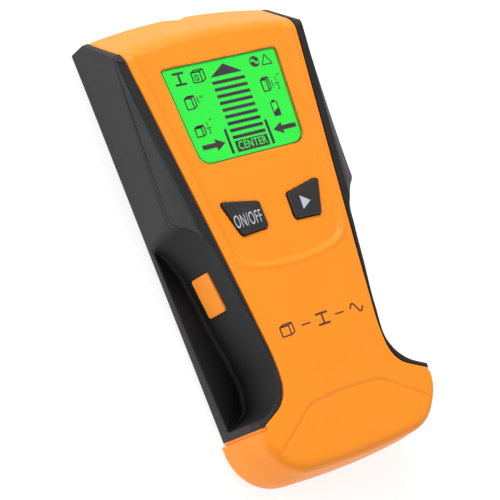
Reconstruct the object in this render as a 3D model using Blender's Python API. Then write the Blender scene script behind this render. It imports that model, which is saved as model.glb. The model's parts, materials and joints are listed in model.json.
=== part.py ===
"""A hand-held stud, metal and AC detector lying on its back: +Z out of its face, +Y to its sensing end.

Lengths are written in millimetres and become metres in mesh_object and place.
"""

import math

import bmesh
import bpy
import numpy as np
from mathutils import Euler, Matrix, Vector

MM = 0.001
GAP = 0.3  # between pieces that touch

# Overall shape
HALF_LENGTH = 82.0
BODY_BOTTOM = -62.6  # where the upper body runs into the bottom block
GRIP_BOTTOM = -61.1
SIDE_WIDEST = 37.6  # half the width at the shoulder of the side walls
RIM_HEIGHT = 28.0  # outer edge of the black rim strip
FACE_EDGE_HEIGHT = 28.5
FACE_HEIGHT = 29.3
FACE_HEIGHT_LOW = 28.7  # the same, where the face meets the bottom block
SHOULDER_LOW = 22.2
SHOULDER_RISE = 4.8  # the shoulder climbs by this much towards the hood
RECESS_TOP = 9.5
HOOD_FOOT = 66.0  # where the hood meets the face at the sides
GRIP_WALL = 2.0
COVER_WALL = 1.9
CORE = GRIP_WALL + GAP  # from the outside of a grip to the cover behind it
CAVITY = CORE + COVER_WALL
CORE_FLOOR = 2.5  # the cover behind the grips stops clear of the rear cover
CAVITY_TOP = 25.4
SHOULDER_DROP = 4.0  # the shoulder inside the cover lies this much lower

# Half widths (y, x) of the outlines on the face
FACE_EDGE = ((80, 35.5), (66, 34.2), (34, 30.4), (4, 26.7), (-30, 22.7), (-42, 21.5), (-47, 21.5), (-51, 22),
             (-54, 23.2), (-57, 26), (-59.6, 30.9), (-60.8, 33))
RIM_WIDTH = 3.0
# Finger recess: its edge at the floor and on the rim, station by station from its upper to its lower end
RECESS_FLOOR = ((48, 8.6), (37.2, 8), (34.6, 5.6), (30.5, -2), (28.5, -12.6), (26.9, -25.5), (24.7, -39),
                (24.8, -50), (27.4, -55.4), (34.2, -58.5), (48, -58.7))
RECESS_RIM = ((48, 11), (38, 10.2), (33.6, 6.8), (28.8, 0.6), (27, -8), (25.2, -20.6), (23, -36), (23, -49.5),
              (25, -53.2), (31.3, -58.2), (48, -60.2))
RECESS_FLOOR_HEIGHT = 4.0
RECESS_FLOOR_SLOPE = -0.04  # the floor rises towards the lower end

# Hood at the sensing end: (y, z) of its profile on the centre line, from the back edge to the face
HOOD = ((HALF_LENGTH, -2), (81.7, 9.6), (81.3, 10.8), (71, 25.8), (70, 27), (68.6, 28), (66, 28.9), (62, 31))
HOOD_SAG = 3.0  # how far the hood falls back at the sides
HOOD_HALF = 35.3
HOOD_WALL = 2.4
NOTCH_HALF = 4.25
NOTCH_DEPTH = 1.5

# Bottom block
BLOCK_TOP = -62.2
BLOCK_HALF = 35.8
BLOCK_CORNER = 16.0
BLOCK_BOW = 0.8
BLOCK_INSETS = ((0, 2.4), (0.8, 1.0), (2.6, 0.1), (14, 0), (25.6, 1.8), (27.2, 2.7), (28, 4.2), (28.4, 7))

# Sunken panel around the display and the keys
PANEL_MARGIN = 3.9
PANEL_FLOOR = 28.2
PANEL_BOTTOM = -6.4
PANEL_BULGE = ((19.7, -9.8), (14, -11.5), (0, -12.7), (-14, -11.5), (-19.7, -9.8))

# Display: window corners (x, y), then the stack behind it
WINDOW = ((-23.1, 59), (23.1, 59), (20.8, 24.6), (-20.8, 24.6))
WINDOW_RADII = (1.5, 1.5, 4.5, 4.5)
LENS_BACK = 27.3
LENS_FRONT = 28.0
LEDGE = 1.0  # the lens rests on a ledge this wide
DISPLAY_MIDDLE = 41.8
UPPER_GLASS_Z = (25.0, 27.0)
LOWER_GLASS_SIZE = (48, 36.8)
LOWER_GLASS_Z = (22.0, 24.7)
FRAME_SIZE = (50.6, 41)
FRAME_Z = (16.2, 25.0)
BACKLIGHT = (47.6, 32.4, (18.6, 21.6), (0, 43.4))
ZEBRA_STRIP = (44, 2.2, (16.2, 21.7), (0, 24.9))

# Main board
BOARD_Z = (14.3, 15.9)
BOARD_WIDE = 25.6
BOARD_NARROW = 19.4  # beside the side key, which needs room to travel
BOARD_STEP = 13.0
BOARD_Y = (-14, 64)
BOARD_POSTS = ((-22.5, 17.4), (22.5, 17.4), (-17.4, -10.6), (17.4, -10.6))

# Keys on the face: corners of the left one; the right one is its mirror image
KEY = ((-19.7, 11.4), (-5.6, 8.6), (-5.6, -0.5), (-15.8, -1))
KEY_RADIUS = 1.3
KEY_TOP = 29.0
KEY_FLANGE_Z = (23.2, 25.1)
KEY_CLEARANCE = 0.35
SWITCH_PLACE = (11.5, 4.6)
SWITCH_SIZE = 6.0
SWITCH_Z = (16.2, 18.6)
PLUNGER_RADIUS = 1.5
PLUNGER_Z = (17.3, 20.3)
STEM_RADIUS = 1.7

# Side key: middle of its face on the left wall of the recess, and how that wall is turned
SIDE_KEY_PLACE = (-27.35, -14.7, 13.85)
SIDE_KEY_TURN = (0, math.radians(5.2), math.radians(7.1))
SIDE_KEY_SIZE = (13.9, 10.3)
SIDE_KEY_CORNER = 1.0
SIDE_KEY_PROUD = 0.5
SIDE_KEY_FLANGE = (5.3, 6.3)  # behind the wall, along the key's travel
SIDE_PLUNGER = (6.6, 9.1)
SIDE_SWITCH = (8.1, 11.9)
SIDE_SWITCH_DROP = -4.4  # the switch sits this far from the key's middle, across its travel

# Back
REAR_INSET = 3.0
REAR_THICK = 2.0
DOOR_HALF = 13.6
DOOR_Y = (-76.0, -21.2)
DOOR_BACK = 0.2
HINGE_Y = -23.2
HINGE_Z = 2.2
PIN_RADIUS = 0.8
PIN_LONG = 1.3  # how far each pin stands out of the door
DOOR_CLEARANCE = 0.4
FINGER_GROOVES = 4
CASE_SCREWS = ((-28.9, 57), (28.9, 57), (-24, -68.5), (24, -68.5))
BOSS_RADIUS = 2.8
TOWER_RADIUS = 3.3
COUNTERBORE_RADIUS = 2.6
SCREW_HEAD_RADIUS = 2.3

# 9 V block battery and its box
BATTERY_HALF = 13.25
BATTERY_Y = (-75.4, -29.8)
BATTERY_Z = (4.4, 21.9)
TERMINALS = (("terminal_small", -6.35, 2.8), ("terminal_large", 6.35, 3.8))  # name, x, radius
TERMINAL_HIGH = 1.9
SNAP_HALF = 12.0
LEAD_RADIUS = 0.65
BOX_HALF = 15.6
BOX_Y = (-76.9, -25.9)
BOX_Z = (2.5, 24.2)
BOX_WALL = 1.2
FOAM_SIZE = (18, 30)

# Sensors
ELECTRODES = (("electrode_left", -17), ("electrode_centre", 0), ("electrode_right", 17))
COIL_PLACE = (0, 42)
COIL_RADII = (10.9, 15.5)
COIL_Z = (6.0, 10.4)
SENSOR_BOARD = (52, 13.5, (3.5, 5.1), (0, 70))
ANTENNA = (40, 1.6, (9, 10.4), (0, 61))
BUZZER = (8.0, (4, 12.4), (8, 6))

COLOURS = {
    "orange": ((0.95, 0.30, 0.045), 0.45, 0.0),
    "black": ((0.035, 0.035, 0.035), 0.6, 0.0),
    "key": ((0.028, 0.028, 0.028), 0.5, 0.0),
    "lens": ((0.30, 0.60, 0.32), 0.08, 0.0),
    "display": ((0.05, 0.9, 0.09), 0.25, 0.0),
    "diffuser": ((0.75, 0.85, 0.75), 0.4, 0.0),
    "grey": ((0.22, 0.22, 0.22), 0.5, 0.0),
    "board": ((0.02, 0.20, 0.07), 0.5, 0.0),
    "silicone": ((0.12, 0.10, 0.10), 0.7, 0.0),
    "steel": ((0.62, 0.62, 0.64), 0.3, 1.0),
    "copper": ((0.80, 0.40, 0.22), 0.35, 1.0),
    "ferrite": ((0.05, 0.045, 0.05), 0.6, 0.0),
    "chip": ((0.02, 0.02, 0.022), 0.45, 0.0),
    "battery": ((0.16, 0.16, 0.17), 0.35, 0.3),
    "red": ((0.60, 0.02, 0.02), 0.4, 0.0),
    "foam": ((0.10, 0.10, 0.11), 0.95, 0.0),
}


# ---------------------------------------------------------------- tools

def clear_scene():
    for obj in list(bpy.data.objects):
        bpy.data.objects.remove(obj, do_unlink=True)


def finish_look(name, look):
    """A Principled material for one object."""
    colour, roughness, metallic = COLOURS[look]
    material = bpy.data.materials.new(name)
    material.use_nodes = True
    shader = material.node_tree.nodes["Principled BSDF"]
    shader.inputs["Base Color"].default_value = (*colour, 1)
    shader.inputs["Roughness"].default_value = roughness
    shader.inputs["Metallic"].default_value = metallic
    material.diffuse_color = (*colour, 1)
    return material


def mesh_object(name, bm, look=None, place=(0, 0, 0), turn=(0, 0, 0)):
    """Links the mesh, given in millimetres, as an object; without a look it is a cutter."""
    bmesh.ops.scale(bm, vec=(MM, MM, MM), verts=bm.verts)
    bmesh.ops.recalc_face_normals(bm, faces=bm.faces)
    mesh = bpy.data.meshes.new(name)
    bm.to_mesh(mesh)
    bm.free()
    return link(name, mesh, look, place, turn)


def link(name, mesh, look, place=(0, 0, 0), turn=(0, 0, 0)):
    obj = bpy.data.objects.new(name, mesh)
    obj.location = Vector(place) * MM
    obj.rotation_euler = Euler(turn)
    bpy.context.scene.collection.objects.link(obj)
    if look is None:
        obj.hide_render = True
        obj.display_type = "WIRE"
    else:
        mesh.materials.clear()
        mesh.materials.append(finish_look(name, look))
    return obj


def smooth_object(obj, degrees=35):
    obj.data.shade_smooth()
    obj.data.set_sharp_from_angle(angle=math.radians(degrees))
    return obj


def boolean(obj, tool, operation="DIFFERENCE", solver="EXACT"):
    modifier = obj.modifiers.new(tool.name, "BOOLEAN")
    modifier.operation = operation
    modifier.solver = solver
    modifier.object = tool
    return obj


def baked(obj, name):
    """A mesh of the object with its modifiers applied."""
    graph = bpy.context.evaluated_depsgraph_get()
    mesh = bpy.data.meshes.new_from_object(obj.evaluated_get(graph))
    mesh.name = name
    return mesh


def loft(rings):
    """A closed bmesh through rings of points with the same count."""
    bm = bmesh.new()
    loops = [[bm.verts.new(point) for point in ring] for ring in rings]
    for lower, upper in zip(loops, loops[1:]):
        for i, corner in enumerate(lower):
            j = (i + 1) % len(lower)
            bm.faces.new((corner, lower[j], upper[j]))
            bm.faces.new((corner, upper[j], upper[i]))
    bm.faces.new(loops[0][::-1])
    bm.faces.new(loops[-1])
    return bm


def prism(outline, bottom, top):
    return loft([[(x, y, z) for x, y in outline] for z in (bottom, top)])


def box(x, y, z):
    return prism(((x[0], y[0]), (x[1], y[0]), (x[1], y[1]), (x[0], y[1])), *z)


def centred_box(size_x, size_y, z, middle=(0, 0)):
    x, y = middle
    return box((x - size_x / 2, x + size_x / 2), (y - size_y / 2, y + size_y / 2), z)


def round_outline(radius, middle=(0, 0), sides=20):
    angles = [2 * math.pi * i / sides for i in range(sides)]
    return [(middle[0] + radius * math.cos(a), middle[1] + radius * math.sin(a)) for a in angles]


def cylinder(radius, z, middle=(0, 0), sides=20):
    return prism(round_outline(radius, middle, sides), *z)


def rounded(corners, radii, grow=0.0, steps=4):
    """The outline of a convex polygon, clockwise or not, with rounded corners, grown outwards by grow."""
    area = sum(a[0] * b[1] - b[0] * a[1] for a, b in zip(corners, (*corners[1:], corners[0])))
    points = []
    for i, corner in enumerate(corners):
        here = Vector(corner)
        back = (Vector(corners[i - 1]) - here).normalized()
        ahead = (Vector(corners[(i + 1) % len(corners)]) - here).normalized()
        half = math.acos(max(-1, min(1, back.dot(ahead)))) / 2
        radius = radii[i]
        middle = here + (back + ahead).normalized() * (radius / math.sin(half))
        start = middle - (back + ahead).normalized() * radius
        sweep = math.pi - 2 * half
        first = (start - middle).to_2d()
        for k in range(steps + 1):
            angle = (k / steps - 0.5) * sweep * (1 if area > 0 else -1)
            turned = Matrix.Rotation(angle, 2) @ first
            points.append(tuple(middle + turned * (1 + grow / radius)))
    return points


def smooth_value(stations, at):
    """The value at a station, on a smooth curve through (station, value) pairs."""
    keys, values = np.array(sorted(stations), float).T
    slopes = np.gradient(values, keys)
    i = int(min(max(np.searchsorted(keys, at) - 1, 0), len(keys) - 2))
    span = keys[i + 1] - keys[i]
    t = min(max((at - keys[i]) / span, 0), 1)
    start = values[i] * (1 + 2 * t) * (1 - t) ** 2 + slopes[i] * span * t * (1 - t) ** 2
    end = values[i + 1] * (3 - 2 * t) * t**2 - slopes[i + 1] * span * t**2 * (1 - t)
    return float(start + end)


def mirrored(points):
    """A closed outline from its right half, given from one end of the middle line to the other."""
    return list(points) + [(-x, y) for x, y in reversed(points) if abs(x) > 1e-6]


# ---------------------------------------------------------------- outlines of the body

def back_half(y):
    return 35.46 + 0.0223 * y


def face_half(y):
    return smooth_value(FACE_EDGE, y)


def shoulder_height(y):
    along = min(max(0, (y - RECESS_TOP) / (HOOD_FOOT - RECESS_TOP)), 1)
    return SHOULDER_LOW + SHOULDER_RISE * along**1.5


def shoulder_half(y):
    return min(SIDE_WIDEST, 34.6 + 3.0 * (y - BODY_BOTTOM) / (RECESS_TOP - BODY_BOTTOM))


def rim_half(y):
    return min(face_half(y) + RIM_WIDTH, shoulder_half(y) - 0.5)


def recess_half(y, edge):
    """Half the width between the finger recesses at y, on their floor or on their rim."""
    stations = [(point[1], min(point[0], SIDE_WIDEST)) for point in edge[1:-1]]
    return smooth_value(stations, min(max(y, stations[-1][0]), stations[0][0]))


def body_section(y):
    middle = FACE_HEIGHT if y > -40 else FACE_HEIGHT + (FACE_HEIGHT_LOW - FACE_HEIGHT) * (-40 - y) / 22
    half = back_half(y)
    shoulder = shoulder_half(y)
    return [
        (0, 0), (half - 0.9, 0), (half, 0.9), (shoulder, shoulder_height(y) - 0.6),
        (shoulder - 0.3, shoulder_height(y)), (rim_half(y), RIM_HEIGHT), (face_half(y), FACE_EDGE_HEIGHT),
        (face_half(y) - 3.5, middle - 0.2), (0, middle),
    ]


def line_through(low, high, z):
    """The half width at z on the line through two (half width, z) points."""
    return low[0] + (high[0] - low[0]) * (z - low[1]) / (high[1] - low[1])


def wall_half(y, z):
    """Half the width of the body at a height, on its side or on the wall of its finger recess."""
    shoulder = (shoulder_half(y), shoulder_height(y))
    if z < shoulder[1]:
        side = line_through((back_half(y), 0), shoulder, z)
    else:
        side = line_through(shoulder, (rim_half(y), RIM_HEIGHT), z)
    floor = (recess_half(y, RECESS_FLOOR), RECESS_FLOOR_HEIGHT)
    recess = line_through(floor, (recess_half(y, RECESS_RIM), RIM_HEIGHT), z)
    return min(side, recess)


def core_section(y, inset, floor, ceiling):
    """The body without its grips: it steps in at the recesses, and goes straight down at its sides."""
    reach = 0.8 * inset
    levels = (CORE_FLOOR, 12, shoulder_height(y) - SHOULDER_DROP, 27)
    halves = [min(wall_half(y + step, z) for step in (-reach, 0, reach)) - inset for z in levels]
    heights = (floor, 12, shoulder_height(y) - SHOULDER_DROP, ceiling)
    return [(0, floor), *zip(halves, heights), (0, ceiling)]


def stations(start, end, count):
    """Places along the length, closer together where the grips flare out at their lower end."""
    even = np.linspace(start, end, count)
    flare = [y for y in (-60, -58.4, -56.6, -54.6, -52.4, 3, 6.5, 9.5, 12.5) if start < y < end]
    return sorted({round(float(y), 2) for y in [*even, *flare]})


def lengthwise(section, places):
    """A loft of right-half sections, mirrored to the left."""
    rings = []
    for y in places:
        rings.append([(x, y, z) for x, z in mirrored(section(y))])
    return loft(rings)


def block_outline(inset):
    half = BLOCK_HALF - inset
    radius = BLOCK_CORNER - inset
    centre = (BLOCK_HALF - BLOCK_CORNER, -HALF_LENGTH + BLOCK_BOW + BLOCK_CORNER)
    arc = [math.radians(angle) for angle in range(0, -91, -15)]
    points = [(0, BLOCK_TOP), (half, BLOCK_TOP)]
    points += [(centre[0] + radius * math.cos(a), centre[1] + radius * math.sin(a)) for a in arc]
    points += [(centre[0] / 2, -HALF_LENGTH + inset + BLOCK_BOW / 4), (0, -HALF_LENGTH + inset)]
    return mirrored(points)


def hood_cutter(shift):
    """Everything beyond the hood, moved back by shift."""
    rings = []
    for x in np.linspace(-44, 44, 23):
        back = HOOD_SAG * (x / HOOD_HALF) ** 2 + shift
        ring = [(x, y - back, z) for y, z in HOOD]
        rings.append([*ring, (x, 100, 31), (x, 100, -2)])
    return mesh_object(f"beyond_hood_{shift:.0f}", loft(rings))


def recess_cutter(side):
    rings = []
    height = 40
    for level in (0, 1):
        ring = []
        for low, rim in zip(RECESS_FLOOR, RECESS_RIM):
            floor = RECESS_FLOOR_HEIGHT + RECESS_FLOOR_SLOPE * low[1]
            rise = (height - floor) / (RIM_HEIGHT - floor) if level else 0
            x = low[0] + (rim[0] - low[0]) * rise
            y = low[1] + (rim[1] - low[1]) * rise
            ring.append((side * x, y, height if level else floor))
        rings.append(ring)
    return mesh_object(f"recess_{side}", loft(rings))


def side_zone(side, grow, name):
    """The plan of one grip, as a tall prism from the edge of the face outwards."""
    places = stations(GRIP_BOTTOM + GAP, 80, 22)
    outline = [(side * (face_half(y) + grow), y) for y in places]
    outline += [(side * (face_half(80) + grow), 95), (side * 60, 95), (side * 60, GRIP_BOTTOM + grow)]
    outline += [(side * (face_half(GRIP_BOTTOM) + 0.6 + grow), GRIP_BOTTOM + grow)]
    return mesh_object(name, prism(outline, -5, 45))


def rear_outline(inset):
    """Plan of the rear cover, inset from the back edge of the body."""
    top = HALF_LENGTH - inset
    side = [(back_half(y) - inset, y) for y in (73, 0, -60)]
    hood = [(x, top - HOOD_SAG * (x / HOOD_HALF) ** 2) for x in (0, 12, 22, 29)]
    corner = BLOCK_CORNER - inset
    centre = (BLOCK_HALF - BLOCK_CORNER - 2, -HALF_LENGTH + BLOCK_BOW + BLOCK_CORNER)
    arc = [math.radians(angle) for angle in range(0, -91, -18)]
    low = [(centre[0] + corner * math.cos(a), centre[1] + corner * math.sin(a)) for a in arc]
    return mirrored([*hood, (back_half(77) - inset - 0.8, 77.2 - inset), *side, *low, (0, low[-1][1])])


# ---------------------------------------------------------------- housing

def whole_body():
    body = mesh_object("whole_body", lengthwise(body_section, stations(BODY_BOTTOM, 84, 23)))
    boolean(body, hood_cutter(0))
    notch = prism(((-NOTCH_HALF, HALF_LENGTH + 0.9), (0, HALF_LENGTH - 0.4 - NOTCH_DEPTH),
                   (NOTCH_HALF, HALF_LENGTH + 0.9)), -2, 45)
    boolean(body, mesh_object("marking_notch", notch))
    for side in (-1, 1):
        boolean(body, recess_cutter(side))
    return body


def bottom_block():
    rings = [[(x, y, z) for x, y in block_outline(inset)] for z, inset in BLOCK_INSETS]
    return mesh_object("bottom_block", loft(rings))


def cover_cavity():
    places = stations(GRIP_BOTTOM - 3, 84, 23)
    cavity = mesh_object("cavity", lengthwise(lambda y: core_section(y, CAVITY, -3, CAVITY_TOP), places))
    boolean(cavity, hood_cutter(HOOD_WALL))
    inner = [[(x, y, z) for x, y in block_outline(inset)] for z, inset in ((-3, 3.4), (14, 2.6), (25.4, 4.4))]
    for ring in inner:
        ring[0] = (0, BLOCK_TOP + 2, ring[0][2])
    return boolean(cavity, mesh_object("block_cavity", loft(inner)), "UNION")


def core(name, inset, floor):
    places = stations(GRIP_BOTTOM - 3, 84, 23)
    ceiling = FACE_EDGE_HEIGHT - inset
    return mesh_object(name, lengthwise(lambda y: core_section(y, inset, floor, ceiling), places))


def panel_outline():
    right = [(face_half(80) - PANEL_MARGIN, 95)]
    right += [(face_half(y) - PANEL_MARGIN, y) for y in (66, 34, 4)]
    right.append((face_half(PANEL_BOTTOM) - PANEL_MARGIN + 0.9, PANEL_BOTTOM))
    left = [(-x, y) for x, y in reversed(right)]
    return right + list(PANEL_BULGE) + left


def window(grow):
    return rounded(WINDOW, WINDOW_RADII, grow)


def key_outline(side, grow=0.0):
    return [(-side * x, y) for x, y in rounded(KEY, (KEY_RADIUS,) * 4, grow)]


def side_key_box(name, grow, depth, look=None):
    y, z = (size / 2 + grow for size in SIDE_KEY_SIZE)
    outline = rounded(((-y, -z), (y, -z), (y, z), (-y, z)), (SIDE_KEY_CORNER + grow,) * 4)
    rings = [[(x, a, b) for a, b in outline] for x in depth]
    return mesh_object(name, loft(rings), look, SIDE_KEY_PLACE, SIDE_KEY_TURN)


def front_cover(body_mesh):
    cover = link("front_cover", body_mesh.copy(), "orange")
    boolean(cover, bottom_block(), "UNION")
    for side in (-1, 1):
        zone = side_zone(side, 0, f"side_zone_{side}")
        boolean(zone, core(f"core_{side}", CORE, CORE_FLOOR), solver="MANIFOLD")
        boolean(cover, zone, solver="MANIFOLD")
    boolean(cover, cover_cavity(), solver="MANIFOLD")
    boolean(cover, bpy.data.objects["rear_pocket"], solver="MANIFOLD")
    add_bosses(cover)
    boolean(cover, mesh_object("panel", prism(panel_outline(), PANEL_FLOOR, 45)))
    boolean(cover, mesh_object("lens_seat", prism(window(0), LENS_BACK - GAP, 45)))
    boolean(cover, mesh_object("display_hole", prism(window(-LEDGE), 20, 45)))
    for side in (-1, 1):
        boolean(cover, mesh_object(f"key_hole_{side}", prism(key_outline(side, KEY_CLEARANCE), 20, 45)))
    boolean(cover, bpy.data.objects["side_key_hole"])
    return cover


def add_bosses(cover):
    for number, place in enumerate(CASE_SCREWS):
        boss = cylinder(BOSS_RADIUS, (3.9, CAVITY_TOP + 0.8), place)
        boolean(cover, mesh_object(f"boss_{number}", boss), "UNION")
        boolean(cover, mesh_object(f"boss_bore_{number}", cylinder(1.5, (3, 15), place, 12)))
    for number, place in enumerate(BOARD_POSTS):
        post = cylinder(2.2, (BOARD_Z[1] + GAP, CAVITY_TOP + 0.8), place, 14)
        boolean(cover, mesh_object(f"post_{number}", post), "UNION")
        boolean(cover, mesh_object(f"post_bore_{number}", cylinder(1.1, (12, 22), place, 10)))


def grip(name, side, body_mesh):
    panel = link(name, body_mesh.copy(), "black")
    boolean(panel, side_zone(side, GAP, f"{name}_zone"), "INTERSECT", "MANIFOLD")
    boolean(panel, bpy.data.objects["grip_core"], solver="MANIFOLD")
    boolean(panel, bpy.data.objects["rear_pocket"], solver="MANIFOLD")
    if side < 0:
        boolean(panel, bpy.data.objects["side_key_hole"])
    return panel


def rear_cover():
    cover = mesh_object("rear_cover", prism(rear_outline(REAR_INSET), 0, REAR_THICK), "orange")
    half = DOOR_HALF + DOOR_CLEARANCE
    opening = box((-half, half), (DOOR_Y[0] - DOOR_CLEARANCE, DOOR_Y[1] + DOOR_CLEARANCE), (-3, 10))
    boolean(cover, mesh_object("door_opening", opening))
    for side in (-1, 1):
        inner, outer = sorted((side * half, side * (DOOR_HALF + 3)))
        lug = box((inner, outer), (HINGE_Y - 2.2, HINGE_Y + 3), (1, 4.6))
        boolean(cover, mesh_object(f"lug_{side}", lug), "UNION")
        ends = (side * (DOOR_HALF - 1), side * (DOOR_HALF + 2))
        boolean(cover, across(f"pin_hole_{side}", PIN_RADIUS + GAP, *ends))
    for number, place in enumerate(CASE_SCREWS):
        boolean(cover, mesh_object(f"tower_{number}", cylinder(TOWER_RADIUS, (1, 3.6), place)), "UNION")
        boolean(cover, mesh_object(f"counterbore_{number}", cylinder(COUNTERBORE_RADIUS, (-3, 1.8), place)))
        boolean(cover, mesh_object(f"screw_hole_{number}", cylinder(1.5, (-3, 10), place, 12)))
    return cover


def across(name, radius, start, end, look=None):
    """A rod along X on the hinge axis of the battery door."""
    circle = round_outline(radius, (HINGE_Y, HINGE_Z), 14)
    return mesh_object(name, loft([[(x, y, z) for y, z in circle] for x in sorted((start, end))]), look)


def battery_door():
    """A plate whose hinge end is rounded about the hinge axis; its origin is on that axis."""
    radius = HINGE_Z - DOOR_BACK
    arc = [math.radians(angle) for angle in range(-90, 1, 15)]
    profile = [(radius * math.cos(a), radius * math.sin(a)) for a in arc]
    profile += [(radius, 1.0), (-0.9, 1.0), (-0.9, REAR_THICK - HINGE_Z)]
    end = DOOR_Y[0] - HINGE_Y
    profile += [(end, REAR_THICK - HINGE_Z), (end, DOOR_BACK - HINGE_Z)]
    plate = loft([[(x, y, z) for y, z in profile] for x in (-DOOR_HALF, DOOR_HALF)])
    door = mesh_object("battery_door", plate, "orange", (0, HINGE_Y, HINGE_Z))
    reach = DOOR_HALF + PIN_LONG
    boolean(door, across("door_pins", PIN_RADIUS, -reach, reach), "UNION")
    for number in range(FINGER_GROOVES):
        groove = centred_box(14, 1.2, (-1, DOOR_BACK + 0.6), (0, DOOR_Y[0] + 5 + 2.6 * number))
        boolean(door, mesh_object(f"finger_groove_{number}", groove))
    return door


# ---------------------------------------------------------------- display, board and keys

def display():
    mesh_object("lcd_lens", prism(window(-GAP), LENS_BACK, LENS_FRONT), "lens")
    middle = (0, DISPLAY_MIDDLE)
    mesh_object("lcd_upper_glass", prism(window(-LEDGE - GAP), *UPPER_GLASS_Z), "display")
    mesh_object("lcd_lower_glass", centred_box(*LOWER_GLASS_SIZE, LOWER_GLASS_Z, middle), "lens")
    mesh_object("lcd_backlight", centred_box(*BACKLIGHT), "diffuser")
    mesh_object("zebra_strip", centred_box(*ZEBRA_STRIP), "silicone")
    frame = mesh_object("lcd_frame", centred_box(*FRAME_SIZE, FRAME_Z, middle), "grey")
    hollow = centred_box(*(size + 2 * GAP for size in LOWER_GLASS_SIZE), (10, 30), middle)
    boolean(frame, mesh_object("frame_hollow", hollow))


def main_board():
    low, high = BOARD_Y
    right = [(0, low), (BOARD_NARROW, low), (BOARD_NARROW, BOARD_STEP), (BOARD_WIDE, BOARD_STEP + 3),
             (BOARD_WIDE, high), (0, high)]
    board = mesh_object("main_pcb", prism(mirrored(right), *BOARD_Z), "board")
    for number, place in enumerate(BOARD_POSTS):
        boolean(board, mesh_object(f"board_hole_{number}", cylinder(1.2, (10, 20), place, 10)))
        board_screw(number, place)
    mesh_object("mcu_chip", centred_box(9, 9, (12.6, 14.0), (-12, 30)), "chip")


def board_screw(number, place):
    top = BOARD_Z[0] - GAP
    screw = mesh_object(f"board_screw_{number + 1}", cylinder(2.0, (top - 1.4, top), place, 14), "steel")
    boolean(screw, mesh_object(f"board_shaft_{number}", cylinder(0.8, (top - 0.5, 21), place, 10)), "UNION")
    slot = centred_box(3.0, 0.6, (0, top - 0.8), place)
    smooth_object(boolean(screw, mesh_object(f"board_slot_{number}", slot)))


def face_key(name, side):
    """A cap with a flange under the cover and a stem down to its switch."""
    outline = key_outline(side)
    edge = key_outline(side, -0.5)
    rings = [[(x, y, z) for x, y in outline] for z in (24.4, KEY_TOP - 0.5)]
    rings.append([(x, y, KEY_TOP) for x, y in edge])
    key = mesh_object(name, loft(rings), "key")
    flange = prism(key_outline(side, 1.0), *KEY_FLANGE_Z)
    boolean(key, mesh_object(f"{name}_flange", flange), "UNION")
    place = (side * SWITCH_PLACE[0], SWITCH_PLACE[1])
    stem = cylinder(STEM_RADIUS, (PLUNGER_Z[1] + GAP, 24), place, 14)
    boolean(key, mesh_object(f"{name}_stem", stem), "UNION")


def face_switch(name, plunger, side):
    place = (side * SWITCH_PLACE[0], SWITCH_PLACE[1])
    body = mesh_object(name, centred_box(SWITCH_SIZE, SWITCH_SIZE, SWITCH_Z, place), "chip")
    bore = cylinder(PLUNGER_RADIUS + GAP, (SWITCH_Z[0] - 1, SWITCH_Z[1] + 1), place, 14)
    boolean(body, mesh_object(f"{name}_bore", bore))
    smooth_object(mesh_object(plunger, cylinder(PLUNGER_RADIUS, PLUNGER_Z, place, 14), "grey"))


def side_key_parts():
    """The side key, its plunger and its switch, all in the turned frame of the recess wall."""
    key = side_key_box("side_button", 0, (-SIDE_KEY_PROUD, SIDE_KEY_FLANGE[0] + 0.1), "orange")
    flange = side_key_box("side_key_flange", 0.9, SIDE_KEY_FLANGE)
    boolean(key, flange, "UNION")
    across_key = dict(place=SIDE_KEY_PLACE, turn=SIDE_KEY_TURN)
    middle = (0, SIDE_SWITCH_DROP)
    circle = round_outline(PLUNGER_RADIUS, middle, 14)
    plunger = loft([[(x, y, z) for y, z in circle] for x in SIDE_PLUNGER])
    smooth_object(mesh_object("side_plunger", plunger, "grey", **across_key))
    half = SWITCH_SIZE / 2
    across_switch = (SIDE_SWITCH_DROP - half, SIDE_SWITCH_DROP + half)
    body = mesh_object("side_switch", box(SIDE_SWITCH, (-half, half), across_switch), "chip", **across_key)
    bore = round_outline(PLUNGER_RADIUS + GAP, middle, 14)
    hole = loft([[(x, y, z) for y, z in bore] for x in (SIDE_SWITCH[0] - 0.6, SIDE_SWITCH[1] - 1)])
    boolean(body, mesh_object("side_switch_bore", hole, **across_key))


# ---------------------------------------------------------------- power

def battery():
    block = rounded(((-BATTERY_HALF, BATTERY_Z[0]), (BATTERY_HALF, BATTERY_Z[0]),
                     (BATTERY_HALF, BATTERY_Z[1]), (-BATTERY_HALF, BATTERY_Z[1])), (2.0,) * 4)
    body = mesh_object("battery", loft([[(x, y, z) for x, z in block] for y in BATTERY_Y]), "battery")
    middle = sum(BATTERY_Z) / 2
    for name, x, radius in TERMINALS:
        circle = round_outline(radius, (x, middle), 14)
        ends = (BATTERY_Y[1] - 1, BATTERY_Y[1] + TERMINAL_HIGH)
        terminal = loft([[(a, y, b) for a, b in circle] for y in ends])
        boolean(body, mesh_object(name, terminal), "UNION")
    snap_y = BATTERY_Y[1] + TERMINAL_HIGH + GAP
    snap = box((-SNAP_HALF, SNAP_HALF), (snap_y, snap_y + 2.4), (middle - 5, middle + 5))
    mesh_object("battery_snap", snap, "chip")


def battery_box():
    """Three walls and a roof around the battery, open at the back and towards the board."""
    shell = mesh_object("battery_box", box((-BOX_HALF, BOX_HALF), BOX_Y, BOX_Z), "grey")
    inner_half = BOX_HALF - BOX_WALL
    inside = box((-inner_half, inner_half), (BOX_Y[0] + BOX_WALL, 0), (0, BOX_Z[1] - BOX_WALL))
    boolean(shell, mesh_object("battery_space", inside))
    foam = centred_box(*FOAM_SIZE, (REAR_THICK + GAP, BATTERY_Z[0] - GAP), (0, -54))
    mesh_object("battery_foam", foam, "foam")


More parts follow.
